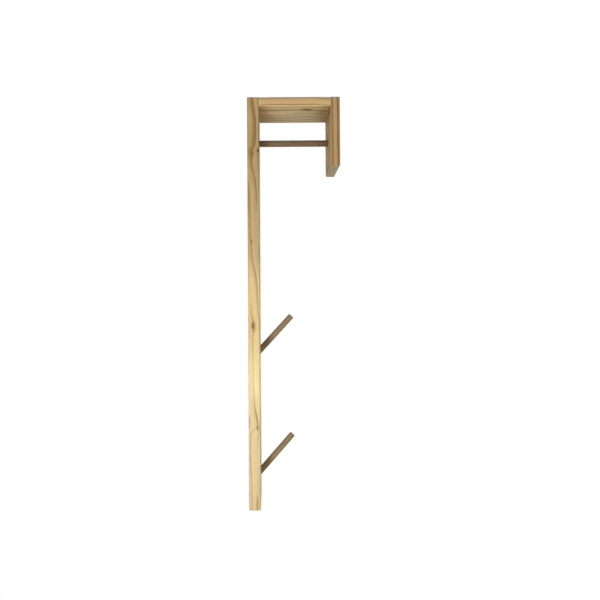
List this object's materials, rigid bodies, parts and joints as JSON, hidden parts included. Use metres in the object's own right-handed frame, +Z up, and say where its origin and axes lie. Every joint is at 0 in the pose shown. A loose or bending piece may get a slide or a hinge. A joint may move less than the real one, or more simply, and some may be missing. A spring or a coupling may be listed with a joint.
{
  "type": "wall mounted clothes valet",
  "caption": "Tall pine wall board with a top arm, a front drop board, a round walnut hanger rail between them and slanting round walnut pegs below.",
  "frame": {"origin": "middle of the wall board's back face, which lies flat on the wall", "axes": "+Z up along the wall board, +Y into the wall, so the arm and the pegs point to -Y, +X across the width of the boards"},
  "size_m": [0.14, 0.225, 1],
  "materials": {
    "pine": "clear oiled pine, growth rings, knots and end grain, satin",
    "walnut": "oiled walnut dowel, long fine grain, satin",
    "beech": "raw fluted beech dowel pin",
    "zinc_steel": "bright zinc plated steel"
  },
  "bodies": {
    "root": {"wall_board": "pine", "top_arm": "pine", "front_drop": "pine", "hanging_rail": "walnut", "upper_peg": "walnut", "lower_peg": "walnut", "rear_dowel_left": "beech", "rear_dowel_centre": "beech", "rear_dowel_right": "beech", "front_dowel_left": "beech", "front_dowel_centre": "beech", "front_dowel_right": "beech", "upper_hanger_plate": "zinc_steel", "lower_hanger_plate": "zinc_steel", "upper_plate_top_screw": "zinc_steel", "upper_plate_bottom_screw": "zinc_steel", "lower_plate_top_screw": "zinc_steel", "lower_plate_bottom_screw": "zinc_steel"}
  },
  "joints": []
}
